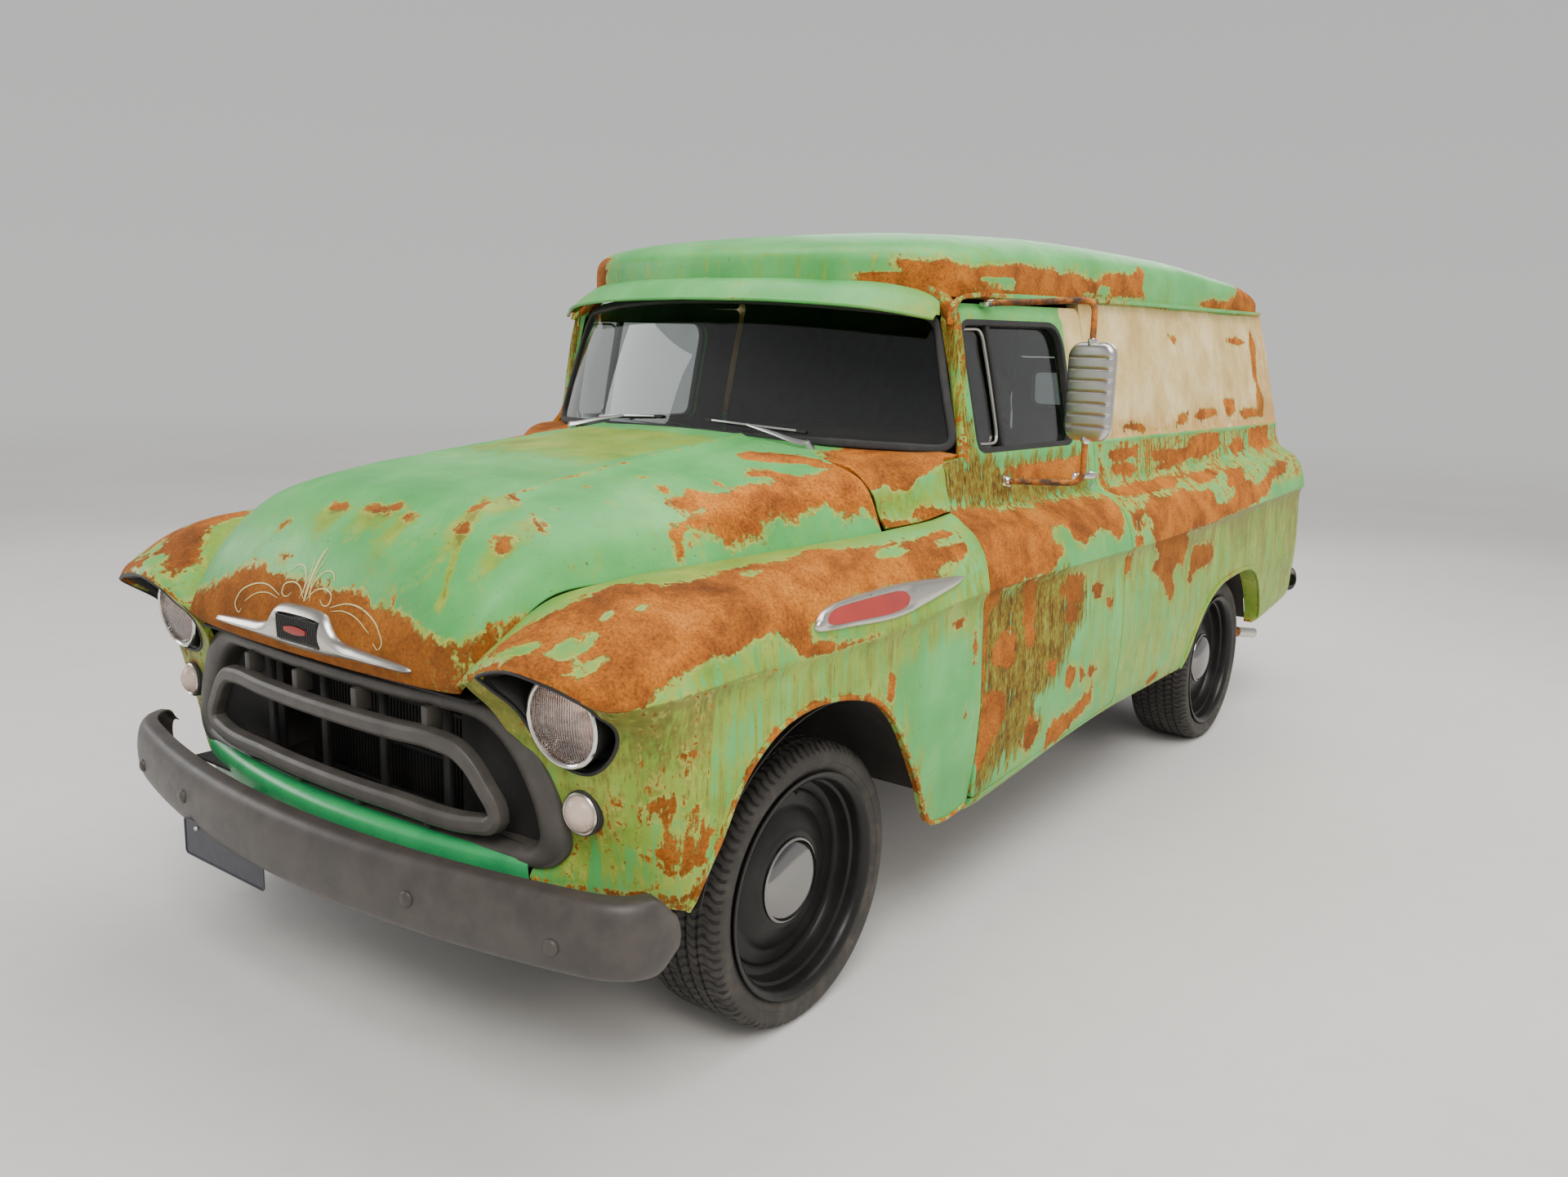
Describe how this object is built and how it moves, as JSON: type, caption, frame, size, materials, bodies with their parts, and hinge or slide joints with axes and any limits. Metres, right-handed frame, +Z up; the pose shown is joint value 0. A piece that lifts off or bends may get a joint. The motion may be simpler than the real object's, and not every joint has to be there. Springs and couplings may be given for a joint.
{
  "type": "vintage panel van",
  "caption": "Weathered 1950s panel delivery van with hinged doors and hood, steered front wheels and four rolling wheels.",
  "frame": {"origin": "on the floor, on the centre plane, midway between the two axles", "axes": "+X to the vehicle's left (driver's) side, the front faces -Y, +Z up"},
  "size_m": [2.0535, 4.7938, 1.988],
  "materials": {
    "body_paint": "weathered mint green over rust",
    "fresh_green": "gloss green",
    "bumper_charcoal": "satin charcoal",
    "grille_charcoal": "satin charcoal",
    "bright_trim": "aged chrome",
    "mirror_steel": "ribbed stainless with rusty arms",
    "lamp_glass": "ribbed clear glass",
    "tail_red": "red lens",
    "window_glass": "clear with dust",
    "chassis_black": "dull black with dirt",
    "engine_grey": "oily cast iron",
    "rusty_steel": "rusty",
    "radiator_black": "matt black",
    "interior_paint": "dusty dark green",
    "seat_vinyl": "worn dark brown vinyl",
    "wheel_plastic": "worn black",
    "tyre_rubber": "matt black rubber",
    "wheel_black": "semi-gloss black with a bright cap"
  },
  "bodies": {
    "root": {"frame_rails": "chassis_black", "front_axle": "chassis_black", "rear_axle": "chassis_black", "leaf_springs": "chassis_black", "drive_shaft": "chassis_black", "engine_block": "engine_grey", "exhaust_pipe": "rusty_steel", "fuel_tank": "chassis_black", "floor_pan": "chassis_black", "cab_frame": "body_paint", "roof_panel": "body_paint", "cargo_sides": "body_paint", "front_fenders": "body_paint", "grille": "grille_charcoal", "radiator_core": "radiator_black", "front_valance": "fresh_green", "front_bumper": "bumper_charcoal", "rear_bumper": "bumper_charcoal", "front_lamps": "lamp_glass", "tail_lamps": "tail_red", "windshield_glass": "window_glass", "sun_visor": "body_paint", "dashboard": "interior_paint", "seat_cushion": "seat_vinyl", "seat_back": "seat_vinyl", "steering_column": "interior_paint"},
    "hood": {"hood_panel": "body_paint", "hood_emblem": "bright_trim"},
    "door_l": {"door_left": "body_paint", "door_glass_left": "window_glass", "mirror_left": "mirror_steel"},
    "door_r": {"door_right": "body_paint", "door_glass_right": "window_glass"},
    "cargo_door_l": {"rear_door_left": "body_paint", "rear_glass_left": "window_glass"},
    "cargo_door_r": {"rear_door_right": "body_paint", "rear_glass_right": "window_glass"},
    "hub_l": {"knuckle_left": "chassis_black"},
    "hub_r": {"knuckle_right": "chassis_black"},
    "steering": {"steering_wheel": "wheel_plastic"},
    "road_wheel_fl": {"tyre_front_left": "tyre_rubber", "wheel_front_left": "wheel_black"},
    "road_wheel_fr": {"tyre_front_right": "tyre_rubber", "wheel_front_right": "wheel_black"},
    "road_wheel_rl": {"tyre_rear_left": "tyre_rubber", "wheel_rear_left": "wheel_black"},
    "road_wheel_rr": {"tyre_rear_right": "tyre_rubber", "wheel_rear_right": "wheel_black"}
  },
  "joints": [
    {"name": "hood_hinge", "type": "hinge", "parent": "root", "child": "hood", "pos_m": [0, -0.985, 1.33], "axis": [-1, 0, 0], "range_deg": [0, 48]},
    {"name": "door_left_hinge", "type": "hinge", "parent": "root", "child": "door_l", "pos_m": [0.925, -0.72, 0.8], "axis": [0, 0, -1], "range_deg": [0, 62]},
    {"name": "door_right_hinge", "type": "hinge", "parent": "root", "child": "door_r", "pos_m": [-0.925, -0.72, 0.8], "axis": [0, 0, 1], "range_deg": [0, 62]},
    {"name": "rear_door_left_hinge", "type": "hinge", "parent": "root", "child": "cargo_door_l", "pos_m": [0.616, 2.428, 1], "axis": [0, 0, -1], "range_deg": [0, 95]},
    {"name": "rear_door_right_hinge", "type": "hinge", "parent": "root", "child": "cargo_door_r", "pos_m": [-0.616, 2.428, 1], "axis": [0, 0, 1], "range_deg": [0, 95]},
    {"name": "steer_left", "type": "hinge", "parent": "root", "child": "hub_l", "pos_m": [0.655, -1.448, 0.337], "axis": [0, 0, 1], "range_deg": [-30, 30]},
    {"name": "steer_right", "type": "hinge", "parent": "root", "child": "hub_r", "pos_m": [-0.655, -1.448, 0.337], "axis": [0, 0, 1], "range_deg": [-30, 30]},
    {"name": "steering_wheel_turn", "type": "hinge", "parent": "root", "child": "steering", "pos_m": [0.38, -0.47, 1.15], "axis": [0, 0.6, 0.8], "range_deg": [-480, 480]},
    {"name": "wheel_front_left_spin", "type": "hinge", "parent": "hub_l", "child": "road_wheel_fl", "pos_m": [0.745, -1.448, 0.337], "axis": [1, 0, 0], "continuous": true},
    {"name": "wheel_front_right_spin", "type": "hinge", "parent": "hub_r", "child": "road_wheel_fr", "pos_m": [-0.745, -1.448, 0.337], "axis": [1, 0, 0], "continuous": true},
    {"name": "wheel_rear_left_spin", "type": "hinge", "parent": "root", "child": "road_wheel_rl", "pos_m": [0.745, 1.448, 0.337], "axis": [1, 0, 0], "continuous": true},
    {"name": "wheel_rear_right_spin", "type": "hinge", "parent": "root", "child": "road_wheel_rr", "pos_m": [-0.745, 1.448, 0.337], "axis": [1, 0, 0], "continuous": true}
  ],
  "couplings": [
    {"joint": "steer_right", "follows": "steer_left", "ratio": 1},
    {"joint": "steering_wheel_turn", "follows": "steer_left", "ratio": 16}
  ]
}
